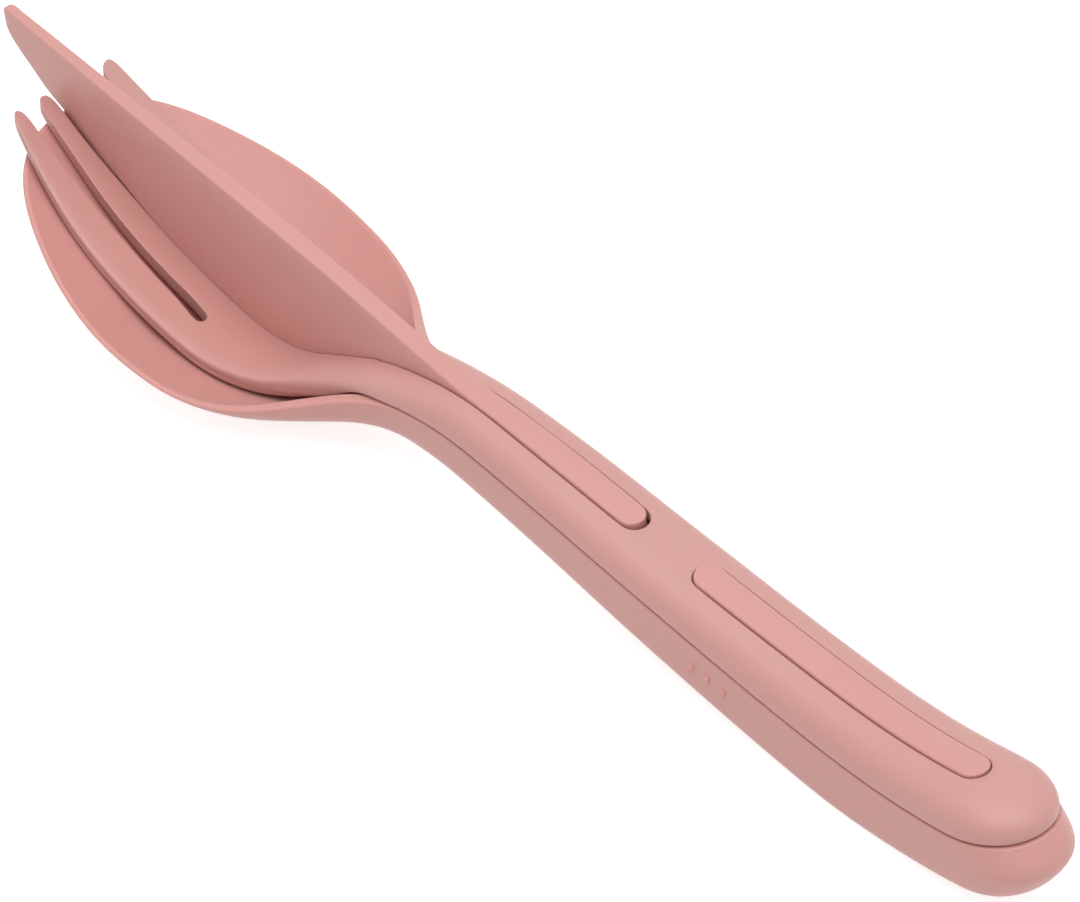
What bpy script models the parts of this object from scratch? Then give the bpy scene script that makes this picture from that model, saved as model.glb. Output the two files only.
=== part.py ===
"""Nested cutlery set: a spoon, a fork lying in it and a knife standing on edge along the middle.

The set lies on a table. Stations run along +X from the handle end to the knife tip, +Y is the side
with the three raised dots, +Z is up and the lowest faces of the spoon are at Z = 0.
All dimensions below are in millimetres; the meshes are made in metres.
"""
import math

import bmesh
import bpy
import numpy as np

MM = 0.001

# Overall
HANDLE_END = 0.5        # station of the round handle end at the seam
END_SWELL = 2.9         # how far the spoon's handle end swells out below the seam
SIDE_SWELL = 0.2        # share by which the rounded end also swells sideways
LEDGE = 0.32            # share of the swell that shows as a ledge beside the seam
SWELL_PEAK = 0.25       # share of the depth at which the swell is greatest
SWELL_LOSS = 1.15       # how fast it goes back below there
END_ROUND = 10.2        # length of the rounded handle end in plan
END_SQUARE = 2.1        # squareness of the rounded handle end in plan
END_FAN = 8.5           # the rounded end's cross-sections fan out about this point
NECK = 116.0            # station where the handle ends and the bowl opens
NECK_START = NECK - 16.0        # stations lie closer together from here
BOWL_MID = 150.0        # station of the bowl's widest place, where its rounded front begins
BOWL_TIP = 184.2        # station of the bowl's front rim
FORK_TIP = BOWL_TIP + 1.8
KNIFE_TIP = FORK_TIP + 9.4
CLEAR = 0.3             # gap kept between two pieces that lie against each other


def along(start, stop, *knots):
    """Turn (fraction of the way from start to stop, value) knots into (station, value) knots."""
    return tuple((start + (stop - start) * t, v) for t, v in knots)


# Handle shared by the spoon and the fork: half width at stations
HANDLE_HALF = ((0, 8.1), (20, 7.35), (40, 6.95), (65, 6.6), (NECK - 26, 6.05), (NECK - 10, 5.55),
               (NECK - 4, 5.75))
HANDLE_SECTION = 5.6    # squareness of the spoon handle's lower half
DOME_SECTION = 2.95     # squareness of the fork handle's domed upper half

# Spoon: height of its rim, height of its underside, half width, squareness of the cross-section
SEAM = (((0, 12.3), (10, 10.4), (20, 9.0), (30, 8.7), (40, 9.15), (65, 11.55), (NECK - 26, 14.05),
         (NECK - 16, 14.55), (NECK - 10, 14.35), (NECK - 4, 13.55))
        + along(NECK, BOWL_MID, (0.06, 12.05), (0.235, 9.65), (0.41, 7.55), (0.59, 6.95), (0.853, 7.9))
        + along(BOWL_MID, BOWL_TIP, (0.44, 12.25), (1.0, 17.5)))
KEEL = (((0, 2.7), (12, 1.0), (22, 0.0), (31, -0.25), (40, 0.55), (65, 3.65), (NECK - 26, 7.15),
         (NECK - 16, 7.9), (NECK - 9, 8.0), (NECK - 3, 7.4))
        + along(NECK, BOWL_MID, (0.09, 5.6), (0.265, 3.1), (0.44, 0.9), (0.62, -0.45), (0.8, -0.75),
                (1.0, 0.7))
        + along(BOWL_MID, BOWL_TIP, (0.29, 4.1), (0.585, 8.1), (0.82, 12.4), (1.0, 16.4)))
BOWL_HALF = (along(NECK, BOWL_MID, (0.0, 6.6), (0.12, 8.5), (0.294, 12.6), (0.47, 17.0), (0.647, 19.8),
                   (1.0, 21.5))
             + along(BOWL_MID, BOWL_TIP, (0.29, 21.1), (0.585, 20.3), (1.0, 20.3)))
BOWL_FRONT = 2.17       # squareness of the bowl front in plan
BOWL_SECTION = (((HANDLE_END, 3.6), (HANDLE_END + END_FAN, HANDLE_SECTION),
                 (NECK - 21, HANDLE_SECTION), (NECK - 6, 4.0))
                + along(NECK, BOWL_MID, (0.12, 2.8), (0.41, 2.2), (1.0, 2.1)) + ((BOWL_TIP, 1.6),))
BOWL_OPEN = along(NECK, BOWL_MID, (0.0, 0.0), (0.25, 0.15), (0.5, 0.6), (0.75, 1.0))
BOWL_INSIDE = along(NECK, BOWL_MID, (-0.12, 0.0), (0.0, 0.25), (0.12, 0.65), (0.3, 0.95), (0.5, 1.0))
BUNCH = 1.4             # over 1, the rings of the mesh lie closer together near the spoon's rim
BOWL_CURVE = 2.0        # power by which the open bowl rises from its middle to its rim
SPOON_WALL = (((0, 1.8), (NECK - 4, 1.8))
              + along(NECK, BOWL_MID, (0.18, 1.7), (0.56, 1.1), (1.0, 0.9)) + ((BOWL_TIP, 0.9),))
FLOOR = (((0, 1.8), (NECK - 4, 1.8))   # thickness of the spoon under its middle
         + along(NECK, BOWL_MID, (0.44, 1.6), (0.62, 1.8), (0.8, 1.95), (1.0, 1.4)) + ((BOWL_TIP, 1.1),))
DOTS = (49.8, 52.6, 55.4)
DOT_DROP = 3.4          # below the seam
DOT_RADIUS = 0.5
DOT_SUNK = 0.55         # share of a dot's radius that is sunk in the wall

# Fork: height of its top, thickness at its side, half width, squareness, hollow of the palm, wall
FORK_TOP = (((0, 17.6), (10, 15.7), (20, 14.3), (30, 13.95), (40, 14.35), (65, 16.1), (NECK - 26, 18.4),
             (NECK - 13, 18.9), (NECK - 5, 17.4))
            + along(NECK, BOWL_MID, (0.09, 14.8), (0.324, 10.5), (0.56, 6.3), (0.765, 5.1))
            + along(BOWL_MID, FORK_TIP, (0.03, 6.45), (0.417, 10.15), (0.694, 14.6), (1.0, 21.0)))
FORK_SIDE = (along(NECK, BOWL_MID, (0.0, 2.85), (0.09, 2.6), (0.18, 3.6), (0.294, 4.3), (0.41, 4.2),
                   (0.56, 3.3), (0.706, 2.5), (0.88, 2.2))
             + along(BOWL_MID, FORK_TIP, (0.61, 2.1), (1.0, 1.7)))
PALM_HALF = (along(NECK, BOWL_MID, (0.06, 6.1), (0.235, 6.7), (0.41, 7.9), (0.59, 9.8), (0.824, 11.5))
             + along(BOWL_MID, FORK_TIP, (0.056, 12.2), (0.28, 12.2), (0.5, 11.8), (0.72, 10.65),
                     (0.917, 9.15), (1.0, 8.5)))
FORK_SECTION = (((0, DOME_SECTION), (NECK - 4, DOME_SECTION))
                + along(NECK, BOWL_MID, (0.265, 3.2), (0.56, 4.0), (0.88, 4.6)))
FORK_DISH = (along(NECK, BOWL_MID, (0.12, 0.0), (0.706, 0.8))
             + along(BOWL_MID, FORK_TIP, (0.14, 1.5), (0.556, 1.9), (1.0, 2.6)))
FORK_WALL = (((0, 1.8), (NECK - 6, 1.8)) + along(NECK, BOWL_MID, (0.41, 2.2), (0.88, 2.2))
             + along(BOWL_MID, FORK_TIP, (0.61, 2.1), (1.0, 1.7)))
EDGE_INSET = ((0, 1.8), (NECK - 2, 1.8)) + along(NECK, BOWL_MID, (0.35, 0.8), (0.706, 0.0))
TINE_LENGTH = 37.4
GAP_ROOT = FORK_TIP - TINE_LENGTH       # station of the round end of the gaps between the tines
TINES = ((2.9, 2.5), (9.15, 7.9))       # middle line of the inner and outer tines, root and tip
TINE_ENDS = (FORK_TIP - 0.8, FORK_TIP - 1.8)    # tip stations of the inner and outer tines
TINE_HALF = along(GAP_ROOT, FORK_TIP, (0.026, 2.1), (0.4, 2.1), (0.6, 1.9), (0.76, 1.5), (0.87, 1.35),
                  (1.0, 1.2))
TINE_TIP = 3.0          # length over which a tine rounds off
TINE_ROUND = 2.4        # squareness of a tine's tip in plan

# Slots in the fork handle and the knife pads that fill them
REAR_PAD = (10.7, 61.2)
REAR_HALF = 2.22
FRONT_PAD = 71.6        # round rear end of the front pad, which runs on into the blade
FRONT_PLAY = 0.8        # gap behind the front pad
SLOT_FRONT = NECK + 3.2         # the blade leaves the front slot here
PROUD = 0.3             # pads stand above the dome
PAD_DEPTH = 6.0         # a pad reaches this far below the dome, into the bar
PAD_EASE = 0.35         # chamfer along a pad's upper edges
BLADE_EASE = 0.25       # chamfer along the blade's back
POINT = 0.02            # half width left at the very end of a rounded pad

# Knife: half thickness at the spine and at the edge, height of the spine and of the tip's belly
KNIFE_HALF = ((FRONT_PAD, 2.05), (NECK - 31, 2.05), (NECK - 18, 1.8), (NECK - 6, 1.5),
              (NECK + 24, 1.3), (NECK + 54, 1.05), (KNIFE_TIP, 0.8))
EDGE_HALF = along(SLOT_FRONT, KNIFE_TIP, (0.0, 1.4), (0.21, 1.1), (0.54, 0.9), (0.7, 0.7), (0.84, 0.6),
                  (1.0, 0.5))
SPINE = (((NECK - 13, 19.4), (NECK - 6, 20.1), (NECK + 4, 21.5), (NECK + 14, 22.95), (NECK + 29, 24.5))
         + along(NECK, KNIFE_TIP, (0.557, 25.95), (0.785, 27.75), (0.962, 29.15)))
TIP_TOP = ((KNIFE_TIP - 1.0, 29.3), (KNIFE_TIP - 0.3, 28.9), (KNIFE_TIP, 28.0))
BELLY = (along(FORK_TIP, KNIFE_TIP, (-0.333, 18.2), (0.022, 19.6), (0.467, 22.3), (0.689, 23.7),
               (0.889, 25.5), (0.967, 26.7), (1.0, 27.6)))
BELLY_RISE = 12.0       # length over which the edge leaves the palm for the middle gap
BLADE_ROOT = 11.2       # the blade reaches down to here inside the front slot
TIP_STEPS = (-0.156, 0.022, 0.244, 0.467, 0.689, 0.822, 0.922, 0.978, 1.0)
BAR = (5.5, NECK - 4.0)         # hidden bar inside the handle
BAR_HALF = 2.9
BAR_RISE = 0.75         # share of the room under the dome that the bar takes

# Cutters
CUT_LOW, CUT_HIGH = -5.0, 40.0          # they reach from under the set to above it
CUT_LAP = 0.03          # neighbouring cutters overlap this far past a tine's tip
CUT_PAST = 1.0          # they run this far past the fork's tip
TINE_STEPS = 4          # steps along the straight part of a tine's side


def curve(*knots):
    """Return a smooth function of station through (station, value) knots, level beyond the ends."""
    s, v = (np.array(c, float) for c in zip(*knots))
    slope = np.gradient(v, s)

    def value(x):
        x = min(max(x, s[0]), s[-1])
        i = min(max(int(np.searchsorted(s, x)) - 1, 0), len(s) - 2)
        h = s[i + 1] - s[i]
        t = (x - s[i]) / h
        a, b = v[i], v[i + 1]
        return (a * (1 + 2 * t) * (1 - t) ** 2 + b * t * t * (3 - 2 * t)
                + h * (slope[i] * t * (1 - t) ** 2 - slope[i + 1] * t * t * (1 - t)))
    return value


seam, keel = curve(*SEAM), curve(*KEEL)
spoon_half = curve(*HANDLE_HALF, *BOWL_HALF)
fork_half = curve(*HANDLE_HALF, *PALM_HALF)
bowl_section, spoon_wall = curve(*BOWL_SECTION), curve(*SPOON_WALL)
bowl_open, bowl_inside = curve(*BOWL_OPEN), curve(*BOWL_INSIDE)
spoon_floor = curve(*FLOOR)
fork_top, fork_side = curve(*FORK_TOP), curve(*FORK_SIDE)
fork_section, fork_dish = curve(*FORK_SECTION), curve(*FORK_DISH)
fork_wall, edge_inset = curve(*FORK_WALL), curve(*EDGE_INSET)
knife_half, edge_half = curve(*KNIFE_HALF), curve(*EDGE_HALF)
pad_top = [(s, fork_top(s) + PROUD) for s in (FRONT_PAD, NECK - 31, NECK - 21)]
spine, belly_front = curve(*pad_top, *SPINE, *TIP_TOP), curve(*BELLY)
tine_half = curve(*TINE_HALF)


def place(s, y, z):
    """Station, side and height in millimetres to a point in metres, middle of the length at X = 0."""
    return ((s - (HANDLE_END - END_SWELL + KNIFE_TIP) / 2) * MM, y * MM, z * MM)


def none(s):
    """No addition at any station."""
    return 0.0


def end_factor(s):
    """Fraction of the half width left inside the rounded handle end."""
    r = min(max((HANDLE_END + END_ROUND - s) / END_ROUND, 0.0), 1.0)
    return (1 - r ** END_SQUARE) ** (1 / END_SQUARE)


def spoon_outline(s):
    """Half width of the spoon in plan."""
    r = min(max((s - BOWL_MID) / (BOWL_TIP - BOWL_MID), 0.0), 1.0)
    return spoon_half(s) * end_factor(s) * (1 - r ** BOWL_FRONT) ** (1 / BOWL_FRONT)


def fork_outline(s):
    """Half width of the fork in plan, before the gaps between the tines are cut."""
    return fork_half(s) * end_factor(s)


def fork_edge(s):
    """Height of the fork's lower edge: over the spoon's rim on the handle, free in the bowl."""
    return seam(s) + CLEAR if s <= NECK else fork_top(s) - fork_side(s)


def inset(points, distance):
    """Move a plan outline that starts and may end on the middle line inwards by distance(station)."""
    moved = []
    for i, (s, y) in enumerate(points):
        a = points[i - 1] if i else (points[1][0], -points[1][1])
        b = points[i + 1] if i + 1 < len(points) else (
            (points[-2][0], -points[-2][1]) if y < 1e-6 else points[-1])
        ds, dy = b[0] - a[0], b[1] - a[1]
        n = math.hypot(ds, dy)
        d = distance(s)
        moved.append((s + d * dy / n, max(y - d * ds / n, 0.0) if y > 1e-6 else 0.0))
    return moved


def swelling(q, ledge):
    """Share of the handle end's swell at a share of the depth below the seam."""
    rest = max(1 - q / SWELL_PEAK, 0.0)
    return (ledge + (1 - ledge) * math.sqrt(1 - rest * rest)) * (1 - SWELL_LOSS * max(q - SWELL_PEAK, 0.0))


def shell_rows(points, middle, rings, edge, centre, section, opened, dish, swell=0.0, bunch=1.0, ledge=0.0):
    """Rows of points from a plan outline to the middle line, one row per outline point.

    The outline's ends fan out about the two middle stations. Ahead of the front one the middle line
    keeps its own height; opened() turns the upright-sided section into a shallow, open one. With
    bunch over 1 the rings lie closer together near the outline.
    """
    rows = []
    for s, y in points:
        k = min(max(s, middle[0]), middle[1])
        n, row = section(s), []
        foot = max(s, k)
        for j in range(rings + 1):
            a = math.pi / 2 * (j / rings) ** bunch
            f = math.cos(a) ** (2 / n) if j < rings else 0.0
            q = math.sin(a) ** (2 / n)
            depth = q + (1 - f ** BOWL_CURVE - q) * opened(s)
            x, side = k + (s - k) * f, y * f
            if s < k:
                out = swelling(q, ledge) * swell
                side *= 1 + out / END_SWELL * SIDE_SWELL * (k - s) / (k - HANDLE_END)
                x -= out * (k - s) / (k - HANDLE_END) * f
            z = centre(max(x, k)) + (edge(s) - centre(foot)) * (1 - depth) + dish(s) * f * f
            row.append((x, side, max(z, 0.0)))
        rows.append(row)
    return rows


def mesh_shell(name, outer, inner):
    """Closed shell from matching rows of outer and inner points, mirrored about the middle line."""
    bm = bmesh.new()
    for side in (1, -1):
        grids = []
        for rows in (outer, inner):
            grids.append([[bm.verts.new(place(s, side * y, z)) for s, y, z in row] for row in rows])
        top, low = grids
        for i in range(len(top) - 1):
            for g in grids:
                for j in range(len(g[0]) - 1):
                    bm.faces.new((g[i][j], g[i + 1][j], g[i + 1][j + 1], g[i][j + 1]))
            bm.faces.new((top[i][0], top[i + 1][0], low[i + 1][0], low[i][0]))
        if outer[-1][0][1] > 1e-6:
            for j in range(len(top[0]) - 1):
                bm.faces.new((top[-1][j], top[-1][j + 1], low[-1][j + 1], low[-1][j]))
    bmesh.ops.remove_doubles(bm, verts=bm.verts, dist=1e-6)
    bmesh.ops.dissolve_degenerate(bm, dist=1e-7, edges=bm.edges)
    bmesh.ops.recalc_face_normals(bm, faces=bm.faces)
    return finish(name, bm)


def finish(name, bm):
    """Turn a bmesh into a linked object."""
    mesh = bpy.data.meshes.new(name)
    bm.to_mesh(mesh)
    bm.free()
    obj = bpy.data.objects.new(name, mesh)
    bpy.context.scene.collection.objects.link(obj)
    return obj


def prism(name, points):
    """Closed upright cutter over a plan polygon."""
    bm = bmesh.new()
    base = bm.faces.new([bm.verts.new(place(s, y, CUT_LOW)) for s, y in points])
    out = bmesh.ops.extrude_face_region(bm, geom=[base])
    for v in out["geom"]:
        if isinstance(v, bmesh.types.BMVert):
            v.co.z += (CUT_HIGH - CUT_LOW) * MM
    bmesh.ops.recalc_face_normals(bm, faces=bm.faces)
    return finish(name, bm)


def loft(name, sections):
    """Closed solid through rings of equal length, ends capped."""
    bm = bmesh.new()
    rings = [[bm.verts.new(place(*p)) for p in ring] for ring in sections]
    n = len(rings[0])
    for a, b in zip(rings, rings[1:]):
        for j in range(n):
            bm.faces.new((a[j], a[(j + 1) % n], b[(j + 1) % n], b[j]))
    bm.faces.new(rings[0][::-1])
    bm.faces.new(rings[-1])
    bmesh.ops.recalc_face_normals(bm, faces=bm.faces)
    return finish(name, bm)


def combine(target, cutter, operation):
    """Apply a Boolean of the cutter to the target through a live modifier."""
    mod = target.modifiers.new(cutter.name, "BOOLEAN")
    mod.operation, mod.solver, mod.object = operation, "EXACT", cutter
    cutter.hide_render = True
    cutter.display_type = "WIRE"


def stations(start, stop, count, ease=""):
    """Evenly spaced stations, or bunched towards the start or the stop."""
    t = [i / count for i in range(count + 1)]
    if ease == "start":
        t = [1 - math.cos(math.pi / 2 * u) for u in t]
    elif ease == "stop":
        t = [math.sin(math.pi / 2 * u) for u in t]
    return [start + (stop - start) * u for u in t]


def material(name, colour, roughness):
    """Matte moulded plastic."""
    mat = bpy.data.materials.new(name)
    mat.use_nodes = True
    shader = mat.node_tree.nodes["Principled BSDF"]
    shader.inputs["Base Color"].default_value = (*colour, 1.0)
    shader.inputs["Roughness"].default_value = roughness
    return mat


def dress(obj, mat):
    """Give the object its material and smooth shading with sharp edges kept."""
    obj.data.materials.append(mat)
    obj.data.shade_smooth()
    obj.data.set_sharp_from_angle(angle=math.radians(35))


def handle_run():
    """Stations from the handle end to just behind the neck."""
    return (stations(HANDLE_END, HANDLE_END + END_ROUND, 7, "start")
            + stations(HANDLE_END + END_ROUND, NECK_START, 10)[1:])


def make_spoon():
    """Open bowl and trough-shaped handle in one shell, with three raised dots on the near side."""
    run = (handle_run() + stations(NECK_START, BOWL_MID, 16)[1:]
           + stations(BOWL_MID, BOWL_TIP, 12, "stop")[1:])
    rim = [(s, spoon_outline(s)) for s in run]
    middle = (HANDLE_END + END_FAN, BOWL_MID)
    outer = shell_rows(rim, middle, 9, seam, keel, bowl_section, bowl_open, none, END_SWELL, BUNCH,
                       LEDGE)
    inner = shell_rows(inset(rim, spoon_wall), middle, 9, seam, lambda s: keel(s) + spoon_floor(s),
                       bowl_section, bowl_inside, none, END_SWELL, BUNCH)
    spoon = mesh_shell("spoon", outer, inner)
    for i, s in enumerate(DOTS):
        bm = bmesh.new()
        bmesh.ops.create_icosphere(bm, subdivisions=2, radius=DOT_RADIUS * MM)
        depth = DOT_DROP / (seam(s) - keel(s))
        y = spoon_outline(s) * (1 - depth ** HANDLE_SECTION) ** (1 / HANDLE_SECTION)
        centre = place(s, y - DOT_SUNK * DOT_RADIUS, seam(s) - DOT_DROP)
        bmesh.ops.translate(bm, verts=bm.verts, vec=centre)
        combine(spoon, finish(f"dot_{i + 1}", bm), "UNION")
    return spoon


def tine_side(index, sign, mirror=1):
    """Plan points of one side of a tine, from the gap root to just past its rounded tip."""
    (root, tip), end = TINES[index], TINE_ENDS[index]
    points = []
    for s in (stations(GAP_ROOT + 1.0, end - TINE_TIP, TINE_STEPS)
              + stations(end - TINE_TIP, end, 6, "stop")[1:]):
        t = (s - GAP_ROOT) / (end - GAP_ROOT)
        r = min(max((s - end + TINE_TIP) / TINE_TIP, 0.0), 1.0)
        y = mirror * (root + (tip - root) * t)
        outward = index == 1 and sign == mirror
        half = fork_outline(s) - abs(y) if outward else tine_half(s)
        half *= (1 - r ** TINE_ROUND) ** (1 / TINE_ROUND)
        points.append((s, y + sign * (half - CUT_LAP)))
    return points + [(FORK_TIP + CUT_PAST, points[-1][1])]


def cut_gaps(fork):
    """Cut the gaps between the tines with round roots, and round the outer tines' tips."""
    inner, outer = 0, 1
    for name, left, right in (
            ("gap_middle", tine_side(inner, 1, -1), tine_side(inner, -1)),
            ("gap_near", tine_side(inner, 1), tine_side(outer, -1)),
            ("gap_far", tine_side(outer, 1, -1), tine_side(inner, -1, -1))):
        s, y0, y1 = left[0][0], left[0][1], right[0][1]
        mid, r = (y0 + y1) / 2, (y1 - y0) / 2
        root = [(s - r * math.sin(t), mid + r * math.cos(t))
                for t in (math.pi * i / 6 for i in range(1, 6))]
        combine(fork, prism(name, left + right[::-1] + root), "DIFFERENCE")
    tip = tine_side(outer, 1)[TINE_STEPS:]
    for name, sign in (("tip_near", 1), ("tip_far", -1)):
        away = 2 * PALM_HALF[-1][1]
        points = tip + [(FORK_TIP + CUT_PAST, away), (tip[0][0], away)]
        combine(fork, prism(name, [(s, sign * y) for s, y in points]), "DIFFERENCE")


def pill(start, stop, half):
    """Plan outline of a straight slot with round ends."""
    arc = [math.pi * i / 8 for i in range(9)]
    return ([(stop - half + half * math.sin(t), half * math.cos(t)) for t in arc]
            + [(start + half - half * math.sin(t), -half * math.cos(t)) for t in arc])


def make_fork():
    """Domed handle shell with two slots, running into a dished palm with four tines."""
    run = handle_run() + stations(NECK_START, BOWL_MID, 14)[1:] + stations(BOWL_MID, FORK_TIP, 7)[1:]
    rim = [(s, fork_outline(s)) for s in run]
    middle = (HANDLE_END + END_FAN, FORK_TIP)
    outer = shell_rows(rim, middle, 7, fork_edge, fork_top, fork_section, none, fork_dish)
    lower = [(min(s, FORK_TIP), y) for s, y in inset(rim, edge_inset)]
    lower[-1] = rim[-1]
    inner = shell_rows(lower, middle, 7, fork_edge, lambda s: fork_top(s) - fork_wall(s),
                       fork_section, none, fork_dish)
    fork = mesh_shell("fork", outer, inner)
    cut_gaps(fork)
    slot = pill(REAR_PAD[0] - CLEAR, REAR_PAD[1] + CLEAR, REAR_HALF + CLEAR)
    combine(fork, prism("slot_rear", slot), "DIFFERENCE")
    r = knife_half(FRONT_PAD) + CLEAR
    back = FRONT_PAD - FRONT_PLAY + r
    sides = [(s, knife_half(s) + CLEAR) for s in stations(back, SLOT_FRONT + CLEAR, 8)]
    round_end = [(back - r * math.sin(t), -r * math.cos(t))
                 for t in (math.pi * i / 8 for i in range(1, 8))]
    outline = sides + [(s, -y) for s, y in sides[::-1]] + round_end
    combine(fork, prism("slot_front", outline), "DIFFERENCE")
    return fork


def bar_section(s, half, low, high, low_half=None, ease=PAD_EASE):
    """Upright cross-section with eased upper corners."""
    b = half if low_half is None else low_half
    e = min(ease, half / 2)
    return [(s, -b, low), (s, b, low), (s, half, high - e), (s, half - e, high),
            (s, e - half, high), (s, -half, high - e)]


def belly(s):
    """Lower edge of the blade: on the fork's palm, into the middle gap, then up to the tip."""
    start, height = BELLY[0]
    if s > start:
        return belly_front(s)
    t = max((s - start) / BELLY_RISE + 1, 0.0)
    return fork_top(s) + CLEAR + (height - fork_top(start) - CLEAR) * t * t * (3 - 2 * t)


def make_knife():
    """Blade on edge over the fork, a hidden bar in the handle and a pad in each slot."""
    sections = []
    r = knife_half(FRONT_PAD)
    for t in stations(0, math.pi / 2, 6):
        s = FRONT_PAD + r * (1 - math.cos(t))
        sections.append(bar_section(s, max(r * math.sin(t), POINT), fork_top(s) - PAD_DEPTH, spine(s)))
    for s in stations(FRONT_PAD + r, SLOT_FRONT - CLEAR, 12)[1:]:
        low = max(fork_top(s) - PAD_DEPTH, BLADE_ROOT)
        sections.append(bar_section(s, knife_half(s), low, spine(s)))
    tip = [FORK_TIP + (KNIFE_TIP - FORK_TIP) * t for t in TIP_STEPS]
    for s in [SLOT_FRONT] + stations(SLOT_FRONT + 2, BELLY[0][0], 20) + tip:
        high = spine(s)
        sections.append(bar_section(s, knife_half(s), min(belly(s), high - CLEAR), high,
                                    edge_half(s), BLADE_EASE))
    knife = loft("knife", sections)
    rear = []
    a, b = REAR_PAD
    for s, h in ([(a + REAR_HALF * (1 - math.cos(t)), REAR_HALF * math.sin(t))
                  for t in stations(0, math.pi / 2, 6)]
                 + [(s, REAR_HALF) for s in stations(a + REAR_HALF, b - REAR_HALF, 9)[1:]]
                 + [(b - REAR_HALF * (1 - math.sin(t)), REAR_HALF * math.cos(t))
                    for t in stations(0, math.pi / 2, 6)[1:]]):
        rear.append(bar_section(s, max(h, POINT), fork_top(s) - PAD_DEPTH, fork_top(s) + PROUD))
    bar = []
    for s in stations(BAR[0], BAR[1], 18):
        top = fork_edge(s) + BAR_RISE * (fork_top(s) - fork_wall(s) - fork_edge(s)) - CLEAR
        bar.append(bar_section(s, BAR_HALF, keel(s) + spoon_floor(s) + 2 * CLEAR, top))
    combine(knife, loft("hidden_bar", bar), "UNION")
    combine(knife, loft("rear_pad", rear), "UNION")
    return knife


def main():
    """Build the three pieces."""
    for obj in list(bpy.data.objects):
        bpy.data.objects.remove(obj, do_unlink=True)
    plastic = ((0.70, 0.38, 0.35), 0.5)
    for obj in (make_spoon(), make_fork(), make_knife()):
        dress(obj, material(f"{obj.name}_matte_plastic", *plastic))


main()
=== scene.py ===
"""Finished look of a nested cutlery set: a spoon, a fork lying in it and a knife on edge along the middle.

Every shape is worked out in millimetres by station (distance along the set from the handle end to the
knife tip), side (+ towards the three small dots) and height above the table. The meshes are in metres
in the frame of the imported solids, whose middle of the length is at X = 0.
"""
from __future__ import annotations

import logging
import math
from dataclasses import dataclass, field
from enum import Enum
from typing import Callable, Iterable

import bmesh
import bpy
import numpy as np
from mathutils import Matrix, Vector


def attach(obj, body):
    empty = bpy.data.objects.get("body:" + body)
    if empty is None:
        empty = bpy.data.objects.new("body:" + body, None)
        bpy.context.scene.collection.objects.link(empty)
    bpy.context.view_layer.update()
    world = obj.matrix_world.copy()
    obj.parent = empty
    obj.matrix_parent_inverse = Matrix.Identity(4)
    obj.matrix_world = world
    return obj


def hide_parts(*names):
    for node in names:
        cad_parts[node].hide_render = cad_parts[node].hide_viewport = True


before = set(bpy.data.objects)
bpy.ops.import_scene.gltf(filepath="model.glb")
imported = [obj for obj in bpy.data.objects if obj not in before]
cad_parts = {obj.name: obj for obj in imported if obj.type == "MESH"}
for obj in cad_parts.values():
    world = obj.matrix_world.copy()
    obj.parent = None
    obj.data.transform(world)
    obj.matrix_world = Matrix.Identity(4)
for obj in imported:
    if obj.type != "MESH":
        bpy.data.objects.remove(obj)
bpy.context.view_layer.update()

LOG = logging.getLogger("cutlery")
MM = 0.001
TINY = 1e-6             # a length or share below this counts as nothing
MERGE = 0.00002         # vertices closer than this, in metres, become one
FINE_MERGE = 0.000005   # the same, where thin walls must stay apart
SMOOTH_LEVELS = 2       # of the live subdivision surfaces
Knots = tuple[tuple[float, float], ...]
Point = tuple[float, float, float]


class Curve:
    """Smooth line of a size against station, through a few knots and level beyond them."""

    def __init__(self, *knots: tuple[float, float]) -> None:
        """Keep the knots and the slope at each.

        Args:
            knots: (station, value) pairs in order of station.
        """
        self.at, self.value = (np.array(c, float) for c in zip(*knots))
        self.slope = np.gradient(self.value, self.at)

    def __call__(self, station: float) -> float:
        """Return the value at a station.

        Args:
            station: Where to read the line; beyond the knots it is level.

        Returns:
            The value.
        """
        x = min(max(station, self.at[0]), self.at[-1])
        i = min(max(int(np.searchsorted(self.at, x)) - 1, 0), len(self.at) - 2)
        h = self.at[i + 1] - self.at[i]
        t = (x - self.at[i]) / h
        a, b = self.value[i], self.value[i + 1]
        bend = self.slope[i] * t * (1 - t) ** 2 - self.slope[i + 1] * t * t * (1 - t)
        return float(a * (1 + 2 * t) * (1 - t) ** 2 + b * t * t * (3 - 2 * t) + h * bend)


class Ease(Enum):
    """How a run of steps is spaced."""

    EVEN = "even"
    START = "bunched at the start"
    STOP = "bunched at the stop"


def steps(start: float, stop: float, count: int, ease: Ease = Ease.EVEN) -> list[float]:
    """Return count + 1 values from start to stop.

    Args:
        start: First value.
        stop: Last value.
        count: Number of intervals.
        ease: Spacing of the values.

    Returns:
        The values in order.
    """
    t = [i / count for i in range(count + 1)]
    if ease is Ease.START:
        t = [1 - math.cos(math.pi / 2 * u) for u in t]
    elif ease is Ease.STOP:
        t = [math.sin(math.pi / 2 * u) for u in t]
    return [start + (stop - start) * u for u in t]


def along(start: float, stop: float, *knots: tuple[float, float]) -> Knots:
    """Turn knots given by their share of the way from start to stop into (station, value) knots."""
    return tuple((start + (stop - start) * t, v) for t, v in knots)


def blend(a: float, b: float, t: float) -> float:
    """Mix a and b smoothly as t goes from 0 to 1, and hold beyond."""
    t = min(max(t, 0.0), 1.0)
    return a + (b - a) * t * t * (3 - 2 * t)


def arch(share: float, squareness: float) -> float:
    """Height of a superellipse arch, 1 at the middle and 0 at share 1."""
    return max(1 - min(abs(share), 1.0) ** squareness, 0.0) ** (1 / squareness)


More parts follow.
